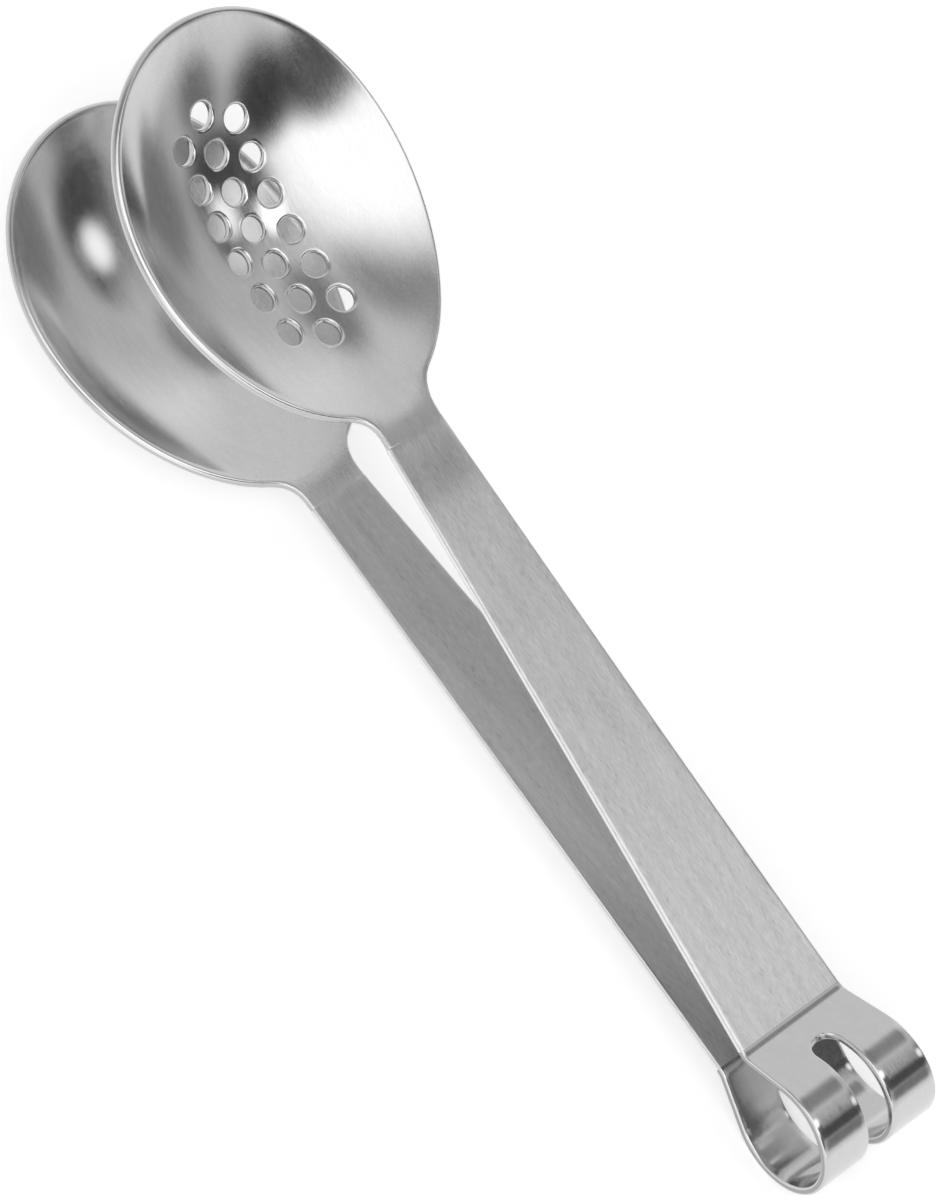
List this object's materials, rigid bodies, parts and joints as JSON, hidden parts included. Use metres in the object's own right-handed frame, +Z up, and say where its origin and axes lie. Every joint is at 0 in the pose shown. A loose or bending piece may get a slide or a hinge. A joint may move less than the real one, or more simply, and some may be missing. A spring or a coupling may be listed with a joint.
{
  "type": "tea bag tongs",
  "caption": "Sprung stainless steel tongs with a slotted loop at the back, tapered arms and two nesting oval bowls that squeeze a tea bag.",
  "frame": {"origin": "on the table under the middle of the tongs, which lie on the back of the loop and on the lower bowl", "axes": "+X from the spring loop to the bowls, +Y to the left seen from the loop, +Z up"},
  "size_m": [0.1604, 0.041, 0.0462],
  "materials": {
    "steel": "satin, brushed lengthwise"
  },
  "bodies": {
    "lower_half": {"lower_bowl": "steel", "lower_arm": "steel", "lower_shoulder": "steel", "spring_band_left": "steel", "spring_band_right": "steel"},
    "upper_half": {"upper_shoulder": "steel", "upper_arm": "steel", "upper_bowl": "steel"}
  },
  "joints": [
    {"name": "squeeze", "type": "hinge", "parent": "lower_half", "child": "upper_half", "pos_m": [-0.07208, 0, 0.00815], "axis": [0, 1, 0], "range_deg": [0, 12.2], "stiffness_Nm_per_rad": 4, "springref_deg": -0.57, "deforming": ["spring_band_left", "spring_band_right"]}
  ]
}
